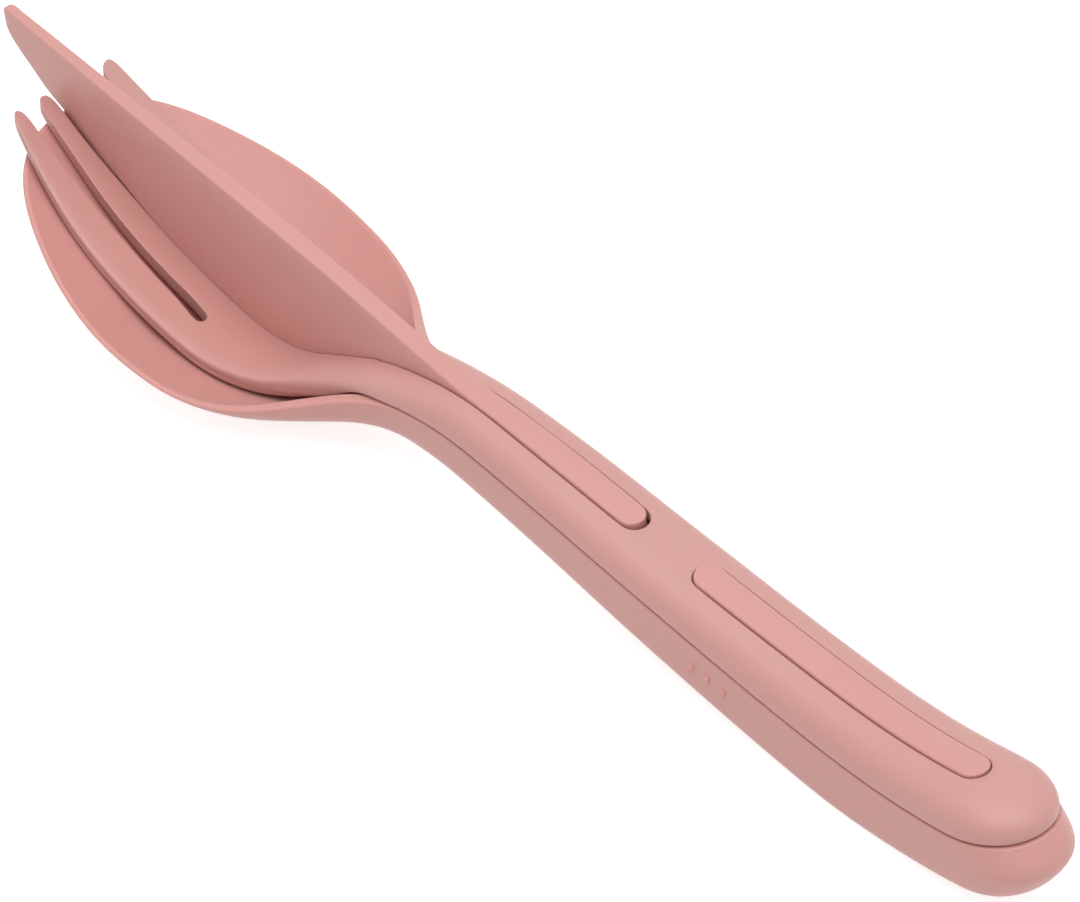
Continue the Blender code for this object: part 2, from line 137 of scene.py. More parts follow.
@dataclass(frozen=True)
class Nest:
    """Sizes in millimetres that the three pieces share, because they lie in each other."""

    handle_end: float = 0.5
    end_round: float = 10.2
    end_fan: float = 9.0        # the cross-sections of the rounded end fan out about this station
    end_square: float = 2.1
    neck: float = 116.0
    bowl_mid: float = 150.0
    bowl_tip: float = 184.2
    fork_tip: float = 186.0
    knife_tip: float = 195.4
    middle: float = 96.5        # station at X = 0
    clear: float = 0.3
    half_knots: Knots = ((0, 8.1), (20, 7.35), (40, 6.95), (65, 6.6), (90, 6.05), (106, 5.55), (112, 5.75))
    seam_knots: Knots = ((0, 12.3), (10, 10.4), (20, 9.0), (30, 8.7), (40, 9.15), (65, 11.55), (90, 14.05),
                         (100, 14.55), (106, 14.35), (112, 13.55))
    seam_bowl: Knots = ((0.06, 12.05), (0.235, 9.65), (0.41, 7.55), (0.59, 6.95), (0.853, 7.9))
    seam_front: Knots = ((0.44, 12.25), (1.0, 17.5))

    def place(self, station: float, side: float, height: float) -> Vector:
        """Return a point in metres."""
        return Vector(((station - self.middle) * MM, side * MM, height * MM))

    def seam(self) -> Curve:
        """Return the height of the spoon's rim, on which the fork's handle lies."""
        return Curve(*self.seam_knots, *along(self.neck, self.bowl_mid, *self.seam_bowl),
                     *along(self.bowl_mid, self.bowl_tip, *self.seam_front))

    def end_factor(self, station: float) -> float:
        """Return the share of the half width that is left inside the rounded handle end."""
        r = (self.handle_end + self.end_round - station) / self.end_round
        return arch(min(max(r, 0.0), 1.0), self.end_square)


def grid(rows: int, columns: int, at: Callable[[bmesh.types.BMesh, bmesh.types.BMVert, int, int], None],
         ) -> bmesh.types.BMesh:
    """Make a net of rows by columns and let a function put each vertex in its place.

    Args:
        rows: Number of vertices along the set.
        columns: Number of vertices across.
        at: Places one vertex, given the bmesh, the vertex, its row and its column.

    Returns:
        The bmesh, not yet merged.
    """
    bm = bmesh.new()
    bmesh.ops.create_grid(bm, x_segments=rows - 1, y_segments=columns - 1, size=1.0)
    for vert in bm.verts:
        i = round((vert.co.x + 1) / 2 * (rows - 1))
        j = round((vert.co.y + 1) / 2 * (columns - 1))
        at(bm, vert, i, j)
    return bm


def close(bm: bmesh.types.BMesh, merge: float = MERGE) -> None:
    """Merge what meets, drop slivers and turn the faces outwards.

    Args:
        bm: The bmesh, which is changed.
        merge: Distance in metres below which vertices become one.
    """
    bmesh.ops.remove_doubles(bm, verts=bm.verts, dist=merge)
    bmesh.ops.dissolve_degenerate(bm, dist=merge / 10, edges=bm.edges)
    bmesh.ops.recalc_face_normals(bm, faces=bm.faces)


def mirror_half(bm: bmesh.types.BMesh) -> None:
    """Mirror a half piece about the middle plane and join the halves.

    Args:
        bm: The bmesh of the half, which becomes the whole.
    """
    geom = bm.verts[:] + bm.edges[:] + bm.faces[:]
    bmesh.ops.mirror(bm, geom=geom, axis="Y", merge_dist=-1)
    close(bm)


def make_object(name: str, bm: bmesh.types.BMesh) -> bpy.types.Object:
    """Turn a bmesh into a linked object and free it.

    Args:
        name: Name of the object and its mesh.
        bm: The bmesh, which is freed.

    Returns:
        The object.
    """
    mesh = bpy.data.meshes.new(name)
    bm.to_mesh(mesh)
    bm.free()
    obj = bpy.data.objects.new(name, mesh)
    bpy.context.scene.collection.objects.link(obj)
    return obj


def smooth_surface(obj: bpy.types.Object) -> None:
    """Round a piece with a live subdivision surface.

    Args:
        obj: The piece.
    """
    mod = obj.modifiers.new("smooth", "SUBSURF")
    mod.levels = SMOOTH_LEVELS
    mod.render_levels = SMOOTH_LEVELS


def unite(obj: bpy.types.Object, others: Iterable[bpy.types.Object]) -> None:
    """Join other closed shapes to a piece, apply all its modifiers and delete the others.

    Args:
        obj: The piece.
        others: The shapes to join to it.
    """
    others = list(others)
    for other in others:
        mod = obj.modifiers.new("join", "BOOLEAN")
        mod.operation = "UNION"
        mod.solver = "EXACT"
        mod.object = other
    graph = bpy.context.evaluated_depsgraph_get()
    mesh = bpy.data.meshes.new_from_object(obj.evaluated_get(graph))
    obj.modifiers.clear()
    old, obj.data = obj.data, mesh
    bpy.data.meshes.remove(old)
    for other in others:
        bpy.data.objects.remove(other, do_unlink=True)


def shade(obj: bpy.types.Object, angle: float) -> None:
    """Shade smooth, with edges sharper than the angle in degrees kept."""
    obj.data.shade_smooth()
    obj.data.set_sharp_from_angle(angle=math.radians(angle))


def linear(code: str) -> tuple[float, float, float, float]:
    """Turn an sRGB hex colour into a linear one with full alpha.

    Args:
        code: The colour as "#RRGGBB".

    Returns:
        Red, green, blue and alpha.
    """
    parts = [int(code[i:i + 2], 16) / 255 for i in (1, 3, 5)]
    r, g, b = (c / 12.92 if c <= 0.04045 else ((c + 0.055) / 1.055) ** 2.4 for c in parts)
    return r, g, b, 1.0


def add_node(tree: bpy.types.NodeTree, kind: str, settings: dict | None = None,
             links: dict | None = None) -> bpy.types.Node:
    """Add a node with its settings and links.

    Args:
        tree: The node tree.
        kind: Blender's type name of the node.
        settings: Values by property name, or by input name or number.
        links: Output sockets by the name or number of the input that they feed.

    Returns:
        The new node.
    """
    node = tree.nodes.new(kind)
    for key, value in (settings or {}).items():
        if isinstance(key, str) and hasattr(node, key):
            setattr(node, key, value)
        else:
            node.inputs[key].default_value = value
    for key, socket in (links or {}).items():
        tree.links.new(socket, node.inputs[key])
    return node


@dataclass(frozen=True)
class MouldedPolypropylene:
    """Solid-coloured polypropylene from a mould with a fine matte texture.

    It gives the eye an even dusty pink with a soft, broad highlight, a faint grain where light grazes it
    and slow changes of tone where the melt flowed.
    """

    colour: str = "#D69D96"
    flow_colour: str = "#D29891"
    roughness: float = 0.46
    roughness_play: float = 0.05
    ior: float = 1.49
    grain_mm: float = 0.35      # texture of 0.03 mm, drawn coarser so that it shows
    grain_depth_mm: float = 0.012
    grain_detail: float = 3.0
    grain_soft: float = 0.6
    grain_range: tuple[float, float] = (0.3, 0.7)
    bump: float = 0.6
    flow_mm: float = 34.0
    flow_detail: float = 2.0
    flow_soft: float = 0.4
    glow: float = 0.3
    glow_mm: float = 1.2
    glow_reach: Point = (1.0, 0.5, 0.4)     # of red, green and blue light in the plastic
    bloom: float = 0.12
    bloom_roughness: float = 0.5

    def make(self, name: str) -> bpy.types.Material:
        """Return the node material.

        Args:
            name: The material's name.

        Returns:
            The material.
        """
        mat = bpy.data.materials.new(name)
        mat.use_nodes = True
        tree = mat.node_tree
        tree.nodes.clear()
        place = add_node(tree, "ShaderNodeTexCoord").outputs["Object"]
        flow = add_node(tree, "ShaderNodeTexNoise",
                        {"Scale": 1 / (self.flow_mm * MM), "Detail": self.flow_detail,
                         "Roughness": self.flow_soft},
                        {"Vector": place}).outputs[0]
        tone = add_node(tree, "ShaderNodeMix",
                        {"data_type": "RGBA", 6: linear(self.colour), 7: linear(self.flow_colour)},
                        {0: flow}).outputs[2]
        grain = add_node(tree, "ShaderNodeTexNoise",
                         {"Scale": 1 / (self.grain_mm * MM), "Detail": self.grain_detail,
                          "Roughness": self.grain_soft},
                         {"Vector": place}).outputs[0]
        rough = add_node(tree, "ShaderNodeMapRange",
                         {"From Min": self.grain_range[0], "From Max": self.grain_range[1],
                          "To Min": self.roughness - self.roughness_play,
                          "To Max": self.roughness + self.roughness_play}, {"Value": grain}).outputs[0]
        bump = add_node(tree, "ShaderNodeBump",
                        {"Strength": self.bump, "Distance": self.grain_depth_mm * MM},
                        {"Height": grain}).outputs[0]
        shader = add_node(tree, "ShaderNodeBsdfPrincipled",
                          {"IOR": self.ior, "Metallic": 0.0, "Subsurface Weight": self.glow,
                           "Subsurface Scale": self.glow_mm * MM, "Subsurface Radius": self.glow_reach,
                           "Sheen Weight": self.bloom, "Sheen Roughness": self.bloom_roughness},
                          {"Base Color": tone, "Roughness": rough, "Normal": bump}).outputs[0]
        add_node(tree, "ShaderNodeOutputMaterial", None, {"Surface": shader})
        return mat


@dataclass
class Spoon:
    """Open bowl and trough-shaped handle, moulded in one, with three raised dots on the near side."""

    nest: Nest
    keel_knots: Knots = ((0, 2.7), (12, 1.0), (22, 0.0), (31, -0.25), (40, 0.55), (65, 3.65), (90, 7.15),
                         (100, 7.9), (107, 8.0), (113, 7.4))
    keel_bowl: Knots = ((0.09, 5.6), (0.265, 3.1), (0.44, 0.9), (0.62, -0.45), (0.8, -0.75), (1.0, 0.7))
    keel_front: Knots = ((0.29, 4.1), (0.585, 8.1), (0.82, 12.4), (1.0, 16.4))
    half_bowl: Knots = ((0.0, 6.6), (0.12, 8.5), (0.294, 12.6), (0.47, 17.0), (0.647, 19.8), (1.0, 21.5))
    half_front: Knots = ((0.29, 21.1), (0.585, 20.3), (1.0, 20.3))
    front_square: float = 2.17
    section_knots: Knots = ((0.5, 3.6), (9, 5.6), (95, 5.6), (110, 4.0), (120, 2.8), (130, 2.2), (150, 2.1),
                            (184.2, 1.6))
    open_knots: Knots = ((116, 0.0), (124.5, 0.15), (133, 0.6), (141.5, 1.0))
    inside_knots: Knots = ((112, 0.0), (116, 0.25), (120, 0.65), (126.2, 0.95), (133, 1.0))
    bowl_curve: float = 2.0
    wall_knots: Knots = ((0, 1.8), (112, 1.8), (122, 1.7), (135, 1.1), (150, 0.9), (184.2, 0.9))
    floor_knots: Knots = ((0, 1.8), (112, 1.8), (131, 1.6), (137, 1.8), (143.2, 1.95), (150, 1.4),
                          (184.2, 1.1))
    end_swell: float = 2.9
    side_swell: float = 0.2
    ledge: float = 0.18         # share of the swell beside the rim
    swell_peak: float = 0.36    # share of the depth at which the swell is greatest
    swell_loss: float = 1.15
    rim_round: float = 0.35
    rim_share: float = 0.46
    rim_slope: float = 0.95
    dots: tuple[float, ...] = (49.8, 52.6, 55.4)
    dot_drop: float = 3.4
    dot_radius: float = 0.65
    dot_sunk: float = 0.2
    dot_segments: int = 24
    neck_start: float = 100.0
    rows_along: tuple[int, int, int, int] = (9, 16, 20, 16)
    wall_steps: int = 12
    rim_steps: int = 3
    sharp_angle: float = 40.0
    seam: Curve = field(init=False)
    keel: Curve = field(init=False)
    half: Curve = field(init=False)
    section: Curve = field(init=False)
    open: Curve = field(init=False)
    inside: Curve = field(init=False)
    wall: Curve = field(init=False)
    floor: Curve = field(init=False)

    def __post_init__(self) -> None:
        """Make the curves from the knots."""
        n = self.nest
        self.seam = n.seam()
        self.keel = Curve(*self.keel_knots, *along(n.neck, n.bowl_mid, *self.keel_bowl),
                          *along(n.bowl_mid, n.bowl_tip, *self.keel_front))
        self.half = Curve(*n.half_knots, *along(n.neck, n.bowl_mid, *self.half_bowl),
                          *along(n.bowl_mid, n.bowl_tip, *self.half_front))
        self.section = Curve(*self.section_knots)
        self.open, self.inside = Curve(*self.open_knots), Curve(*self.inside_knots)
        self.wall, self.floor = Curve(*self.wall_knots), Curve(*self.floor_knots)

    def outline(self, s: float) -> float:
        """Return the half width in plan."""
        r = (s - self.nest.bowl_mid) / (self.nest.bowl_tip - self.nest.bowl_mid)
        return self.half(s) * self.nest.end_factor(s) * arch(max(r, 0.0), self.front_square)

    def rim(self) -> list[tuple[float, float, float, float]]:
        """Return (station, side, and the inward direction in plan) of points around half the rim."""
        n, (end, handle, neck, front) = self.nest, self.rows_along
        run = (steps(n.handle_end, n.handle_end + n.end_round, end, Ease.START)
               + steps(n.handle_end + n.end_round, self.neck_start, handle)[1:]
               + steps(self.neck_start, n.bowl_mid, neck)[1:]
               + steps(n.bowl_mid, n.bowl_tip, front, Ease.STOP)[1:])
        plan = [(s, self.outline(s)) for s in run]
        ends = [(plan[1][0], -plan[1][1])] + plan + [(plan[-2][0], -plan[-2][1])]
        rim = []
        for (s, y), a, b in zip(plan, ends, ends[2:]):
            ds, dy = b[0] - a[0], b[1] - a[1]
            length = math.hypot(ds, dy)
            rim.append((s, y, dy / length, -ds / length if y > TINY else 0.0))
        return rim

    def swelling(self, s: float, q: float, ledge: float) -> tuple[float, float]:
        """Return how far the handle end swells lengthwise, and the factor by which it swells sideways.

        Args:
            s: Station of the rim point.
            q: Share of the depth below the rim.
            ledge: Share of the swell that is there at the rim already.

        Returns:
            The length in millimetres and the factor.
        """
        n = self.nest
        rise = math.sin(min(q / self.swell_peak, 1.0) * math.pi / 2)
        share = (ledge + (1 - ledge) * rise) * (1 - self.swell_loss * max(q - self.swell_peak, 0.0))
        share *= max(n.end_fan - s, 0.0) / (n.end_fan - n.handle_end)
        return share * self.end_swell, 1 + share * self.side_swell

    def wall_point(self, rim: Point, turn: float, lift: float, opened: float, ledge: float) -> Point:
        """Return a point of the wall below a rim point.

        Args:
            rim: The rim point.
            turn: 0 at the rim and 1 at the middle line.
            lift: Height above the underside's middle line.
            opened: 0 for upright sides and 1 for a shallow open bowl.
            ledge: Share of the handle end's swell that is there at the rim already.

        Returns:
            The point as (station, side, height).
        """
        n, (s, y, top) = self.nest, rim
        k = min(max(s, n.end_fan), n.bowl_mid)
        square = self.section(s)
        f = math.cos(math.pi / 2 * turn) ** (2 / square) if turn < 1 else 0.0
        q = math.sin(math.pi / 2 * turn) ** (2 / square)
        depth = q + (1 - f ** self.bowl_curve - q) * opened
        out, widen = self.swelling(s, q, ledge)
        x = k + (s - k) * f - out * f
        height = self.keel(max(x, k)) + lift + (top - self.keel(max(s, k)) - lift) * (1 - depth)
        return x, y * f * widen, max(height, 0.0)

    def profile(self, s: float, y: float, inward: tuple[float, float]) -> list[Point]:
        """Return one cross-section from the underside's middle over the rim to the inside's middle.

        Args:
            s: Station of the rim point.
            y: Side of the rim point.
            inward: Direction in plan from the rim point into the piece.

        Returns:
            Points as (station, side, height).
        """
        wall, seam = self.wall(s), self.seam(s)
        r = min(self.rim_round, self.rim_share * wall)
        points = [self.wall_point((s, y, seam - r), t * t, 0.0, self.open(s), self.ledge)
                  for t in steps(1, 0, self.wall_steps)]
        out, widen = self.swelling(s, 0.0, self.ledge)
        for t in steps(0, math.pi / 2, self.rim_steps)[1:]:
            d = r * (1 - math.cos(t))
            points.append((s + inward[0] * d - out, (y + inward[1] * d) * widen, seam - r + r * math.sin(t)))
        for t in steps(math.pi / 2, self.rim_slope * self.inside(s), self.rim_steps):
            d = wall - r * (1 - math.cos(t))
            points.append((s + inward[0] * d, max(y + inward[1] * d, 0.0), seam - r + r * math.sin(t)))
        inner = points[-1]
        return points + [self.wall_point(inner, t * t, self.floor(s), self.inside(s), 0.0)
                         for t in steps(0, 1, self.wall_steps)[1:]]

    def make_dot(self, index: int, s: float) -> bpy.types.Object:
        """Return one small round pip, partly sunk in the handle's near side.

        Args:
            index: Number of the dot, for its name.
            s: Station of its middle.

        Returns:
            The dot.
        """
        bm = bmesh.new()
        bmesh.ops.create_uvsphere(bm, u_segments=self.dot_segments, v_segments=self.dot_segments // 2,
                                  radius=self.dot_radius * MM)
        square = self.section(s)
        y = self.outline(s) * arch(self.dot_drop / (self.seam(s) - self.keel(s)), square)
        middle = self.nest.place(s, y - self.dot_sunk * self.dot_radius, self.seam(s) - self.dot_drop)
        bmesh.ops.translate(bm, verts=bm.verts, vec=middle)
        return make_object(f"dot_{index}", bm)

    def build(self) -> bpy.types.Object:
        """Return the spoon."""
        rows = [self.profile(s, y, (ns, ny)) for s, y, ns, ny in self.rim()]

        def put(bm: bmesh.types.BMesh, vert: bmesh.types.BMVert, i: int, j: int) -> None:
            """Place one vertex of the half net."""
            vert.co = self.nest.place(*rows[i][j])

        bm = grid(len(rows), len(rows[0]), put)
        mirror_half(bm)
        spoon = make_object("spoon_moulding", bm)
        smooth_surface(spoon)
        unite(spoon, [self.make_dot(i, s) for i, s in enumerate(self.dots)])
        shade(spoon, self.sharp_angle)
        return spoon


SLOT_SIDE = 4               # column along a slot's side
GAP_NEAR, GAP_FAR = 9, 15   # columns along the two sides of the gap between an inner and an outer tine
GAP_MIDDLE = 12


@dataclass
class Fork:
    """Domed handle shell with two slots, running into a dished palm with four tines."""

    nest: Nest
    top_knots: Knots = ((0, 17.6), (10, 15.7), (20, 14.3), (30, 13.95), (40, 14.35), (65, 16.1), (90, 18.4),
                        (103, 18.9), (111, 17.4))
    top_bowl: Knots = ((0.09, 14.8), (0.324, 10.5), (0.56, 6.3), (0.765, 5.1))
    top_front: Knots = ((0.03, 6.45), (0.417, 10.15), (0.694, 14.6), (1.0, 21.0))
    side_bowl: Knots = ((0.0, 2.85), (0.09, 2.6), (0.18, 3.6), (0.294, 4.3), (0.41, 4.2), (0.56, 3.3),
                        (0.706, 2.5), (0.88, 2.2))
    side_front: Knots = ((0.61, 2.1), (1.0, 1.7))
    palm_bowl: Knots = ((0.06, 6.1), (0.235, 6.7), (0.41, 7.9), (0.59, 9.8), (0.824, 11.5))
    palm_front: Knots = ((0.056, 12.2), (0.28, 12.2), (0.5, 11.8), (0.72, 10.65), (0.917, 9.15), (1.0, 8.5))
    dome_square: float = 2.95
    palm_square: float = 4.4
    palm_flat: float = 0.4
    flat_from: float = 117.0
    flat_over: float = 22.0
    dish_knots: Knots = ((120, 0.0), (140, 0.8), (155, 1.5), (170, 1.9), (186, 2.6))
    wall_knots: Knots = ((0, 1.8), (110, 1.8), (130, 2.2), (146, 2.2), (172, 2.1), (186, 1.7))
    inset_knots: Knots = ((0, 1.8), (114, 1.8), (128, 0.8), (140, 0.0))
    inset_from: float = 0.45
    root: float = 149.6
    tine_roots: tuple[float, float] = (2.9, 9.15)
    tine_tips: tuple[float, float] = (2.5, 7.9)
    tine_ends: tuple[float, float] = (185.2, 184.2)
    tine_half_knots: Knots = ((149.6, 2.1), (163.5, 2.1), (171, 1.9), (177, 1.5), (181, 1.35), (186, 1.2))
    tine_lead: float = 1.0
    tine_tip: float = 2.8
    tine_round: float = 3.0
    rear_slot: tuple[float, float] = (10.45, 61.45)
    rear_half: float = 2.45
    front_slot: tuple[float, float] = (70.8, 119.5)
    front_half_knots: Knots = ((70, 2.28), (85, 2.28), (98, 2.03), (110, 1.68), (119.5, 1.48), (149.6, 0.8))
    width_change: tuple[float, float] = (58.0, 12.0)    # from the rear slot's width: start and length
    bend_reach: float = 6.0     # a row this near to a slot's end bends with it
    near: float = 0.01
    lane_shares: tuple[float, float] = (0.4, 0.59)
    inner_columns: tuple[float, ...] = (0.11, 0.34, 0.66, 0.89, 1.0)
    outer_start: float = 0.1
    outer_columns: tuple[float, ...] = (0.78, 0.58, 0.4, 0.24, 0.1, 0.0)
    rows_between: tuple[float, float, float] = (62.7, 66.1, 69.6)
    neck_start: float = 108.0
    rows_stop: float = 180.5
    rows_along: tuple[int, ...] = (6, 11, 9, 5, 13, 11)
    tip_rows: int = 6
    ring: tuple[float, float] = (0.14, 0.86)    # shares of the wall at which its sides have a loop
    sharp_angle: float = 60.0
    seam: Curve = field(init=False)
    top: Curve = field(init=False)
    side: Curve = field(init=False)
    half: Curve = field(init=False)
    dish: Curve = field(init=False)
    wall: Curve = field(init=False)
    inset: Curve = field(init=False)
    tine_half: Curve = field(init=False)
    front_half: Curve = field(init=False)
    front_end_half: float = field(init=False)

    def __post_init__(self) -> None:
        """Make the curves from the knots."""
        n = self.nest
        self.seam = n.seam()
        self.top = Curve(*self.top_knots, *along(n.neck, n.bowl_mid, *self.top_bowl),
                         *along(n.bowl_mid, n.fork_tip, *self.top_front))
        self.side = Curve(*along(n.neck, n.bowl_mid, *self.side_bowl),
                          *along(n.bowl_mid, n.fork_tip, *self.side_front))
        self.half = Curve(*n.half_knots, *along(n.neck, n.bowl_mid, *self.palm_bowl),
                          *along(n.bowl_mid, n.fork_tip, *self.palm_front))
        self.dish, self.wall = Curve(*self.dish_knots), Curve(*self.wall_knots)
        self.inset, self.tine_half = Curve(*self.inset_knots), Curve(*self.tine_half_knots)
        self.front_half = Curve(*self.front_half_knots)
        self.front_end_half = self.front_half(self.front_half_knots[0][0])

    def edge(self, s: float) -> float:
        """Return the height of the lower edge: over the spoon's rim on the handle, free in the bowl."""
        on_rim, free = self.seam(s) + self.nest.clear, self.top(s) - self.side(s)
        return on_rim if s <= self.nest.neck else free

    def flatness(self, s: float) -> float:
        """Return 0 on the domed handle and 1 on the palm."""
        return blend(0.0, 1.0, (s - self.flat_from) / self.flat_over)

    def square(self, s: float) -> float:
        """Return the squareness of the cross-section."""
        return self.dome_square + (self.palm_square - self.dome_square) * self.flatness(s)

    def turns(self) -> tuple[tuple[float, float], tuple[float, float]]:
        """Return the stations between which each slot's sides are straight, the rear slot first."""
        return ((self.rear_slot[0] + self.rear_half, self.rear_slot[1] - self.rear_half),
                (self.front_slot[0] + self.front_end_half, self.front_slot[1]))

    def outline(self, s: float) -> float:
        """Return the half width in plan, before the tines part."""
        return self.half(s) * self.nest.end_factor(s)

    def tine(self, index: int, s: float) -> tuple[float, float]:
        """Return the middle line and half width of a tine at a station ahead of the gap roots.

        Args:
            index: 0 for the inner tine and 1 for the outer one.
            s: The station.

        Returns:
            The side of the middle line, and the half width.
        """
        start = self.root - self.tine_lead
        t = (s - start) / (self.tine_ends[index] - start)
        middle = self.tine_roots[index] + (self.tine_tips[index] - self.tine_roots[index]) * t
        return middle, self.tine_half(s)

    def lanes(self, s: float) -> tuple[float, float, float, float]:
        """Return the four lane borders: slot or middle gap, inner tine, gap, outer tine.

        Args:
            s: The station.

        Returns:
            The sides, from the middle outwards.
        """
        if s <= self.root:
            start, over = self.width_change
            a = blend(self.rear_half, self.front_half(s), (s - start) / over)
            w = self.outline(s)
            return a, a + (w - a) * self.lane_shares[0], a + (w - a) * self.lane_shares[1], w
        (m0, h0), (m1, h1) = self.tine(0, s), self.tine(1, s)
        return m0 - h0, m0 + h0, m1 - h1, self.outline(s)

    def columns(self, s: float) -> list[float]:
        """Return the sides of one half row.

        Args:
            s: The station.

        Returns:
            The sides, from the middle to the outer edge.
        """
        a, b, c, w = self.lanes(s)
        square = self.square(s)
        lane = [a * math.sin(t) for t in steps(0, math.pi / 2, SLOT_SIDE)]
        lane += [a + (b - a) * t for t in self.inner_columns]
        gap, g = (b + c) / 2, (c - b) / 2
        lane += [gap + g * math.sin(t) for t in steps(-math.pi / 2, math.pi / 2, GAP_FAR - GAP_NEAR)[1:]]
        outer = c + (w - c) * self.outer_start
        start = math.acos((outer / w) ** (square / 2))
        return lane + [outer] + [w * math.cos(start * t) ** (2 / square) for t in self.outer_columns]

    def tip_row(self, columns: list[float], s: float, progress: float) -> list[float]:
        """Draw the sides of the two tines in towards their middle lines as they round off.

        Args:
            columns: Sides of the half row.
            s: Station of the row.
            progress: 0 where the rounding starts and 1 at the very tip.

        Returns:
            The sides drawn in.
        """
        shrink = arch(progress, self.tine_round)
        (m0, _), (m1, _) = self.tine(0, s), self.tine(1, s)
        return [m0 + (y - m0) * shrink if SLOT_SIDE <= j <= GAP_NEAR
                else m1 + (y - m1) * shrink if j >= GAP_FAR else y for j, y in enumerate(columns)]

    def bend(self, s: float, j: int, column: list[float]) -> float:
        """Shift a row near a slot's or gap's round end, so that the end is a half circle.

        Args:
            s: Station of the row.
            j: Column of the half row.
            column: Sides of the half row.

        Returns:
            The shift in station.
        """
        ends = []
        if j <= SLOT_SIDE:
            rear, front = self.turns()
            rise = math.sqrt(max(1 - (column[j] / column[SLOT_SIDE]) ** 2, 0.0))
            ends = [(rear[0], -self.rear_half * rise), (rear[1], self.rear_half * rise),
                    (front[0], -self.front_end_half * rise), (self.root, -column[SLOT_SIDE] * rise)]
        elif GAP_NEAR <= j <= GAP_FAR:
            g = (column[GAP_FAR] - column[GAP_NEAR]) / 2
            rise = math.sqrt(max(1 - ((column[j] - column[GAP_NEAR]) / g - 1) ** 2, 0.0))
            ends = [(self.root, -g * rise)]
        shift = 0.0
        for at, reach in ends:
            away = abs(s - at) / self.bend_reach
            if away < 1 and (s - at) * reach >= -TINY:
                shift += reach * (1 - away) ** 2
        return shift

    def rows(self) -> list[float]:
        """Return the stations of the rows, with one at each turn of a slot or gap."""
        n, (rear, front) = self.nest, self.turns()
        end, back, handle, neck, palm, tines = self.rows_along
        return (steps(n.handle_end, n.end_fan, end, Ease.START) + [rear[0]]
                + steps(*rear, back)[1:] + list(self.rows_between)
                + steps(front[0], self.neck_start, handle) + steps(self.neck_start, front[1], neck)[1:]
                + steps(front[1], self.root, palm)[1:] + steps(self.root, self.rows_stop, tines)[1:])

    def roof(self, s: float, share: float, row: float) -> float:
        """Return the height of the upper surface.

        Args:
            s: Station of the point.
            share: Its share of the half width.
            row: Station of its row at the middle line.

        Returns:
            The height.
        """
        k = min(max(row, self.nest.end_fan), self.nest.fork_tip)
        edge = self.edge(row)
        q = arch(share, self.square(row))
        q += (1 - q) * self.flatness(s) * self.palm_flat
        return edge + (self.top(k) - edge) * q + self.dish(row) * share * share

    def under(self, s: float, y: float, share: float, row: float) -> Point:
        """Return the point of the lower surface below a point of the upper one.

        Args:
            s: Station of the upper point.
            y: Its side.
            share: Its share of the half width.
            row: Station of its row at the middle line.

        Returns:
            The point as (station, side, height).
        """
        pole = self.nest.end_fan
        k = max(row, pole)
        inset = self.inset(row) * blend(0.0, 1.0, (abs(share) - self.inset_from) / (1 - self.inset_from))
        if row < pole:
            length = max(math.hypot(s - pole, y), TINY)
            s, y = s - (s - pole) / length * inset, y - y / length * inset
        else:
            y -= math.copysign(inset, y)
        q = arch(share, self.square(row))
        edge = self.edge(row)
        middle = self.top(k) - self.wall(row)
        return s, y, edge + (middle - edge) * q + self.dish(row) * share * share

    def cell(self, stations: list[float], tips: list[float], i: int, column: int) -> tuple[Point, Point]:
        """Return the upper and the lower point of one place in the half net.

        Args:
            stations: Stations of the rows behind the tines' rounded tips.
            tips: Progress of the remaining rows through the tips, up to 1.
            i: Row.
            column: Column, counted from the middle.

        Returns:
            The two points, each as (station, side, height).
        """
        n = self.nest
        outer = 1 if column > GAP_MIDDLE else 0
        tip_start = self.tine_ends[outer] - self.tine_tip
        if i >= len(stations):
            progress = tips[i - len(stations)]
            s = tip_start + self.tine_tip * progress
            side = self.tip_row(self.columns(s), s, progress)[column]
            row, share = s, side / self.outline(s)
        elif stations[i] < n.end_fan:
            row = stations[i]
            share = self.columns(n.end_fan)[column] / self.outline(n.end_fan)
            s, side = n.end_fan + (row - n.end_fan) * share, self.outline(row) * share
        else:
            row = stations[i]
            if row > self.root:
                row = self.root + (row - self.root) * (tip_start - self.root) / (stations[-1] - self.root)
            sides = self.columns(row)
            s, side, share = row + self.bend(row, column, sides), sides[column], sides[column] / sides[-1]
            row = s
        return (s, side, self.roof(s, share, row)), self.under(s, side, share, row)

    def open_cells(self, stations: list[float], i: int, column: int) -> bool:
        """Say whether a cell of the net lies in a slot or in a gap between tines.

        Args:
            stations: Stations of the rows behind the tines' rounded tips.
            i: Row where the cell starts.
            column: Column where the cell starts, counted from the middle.

        Returns:
            Whether the cell is left open.
        """
        at = stations[i] if i < len(stations) else self.nest.fork_tip
        slot = any(a - self.near <= at < b - self.near for a, b in self.turns())
        gap = at >= self.root - self.near
        return column < SLOT_SIDE and (slot or gap) or GAP_NEAR <= column < GAP_FAR and gap

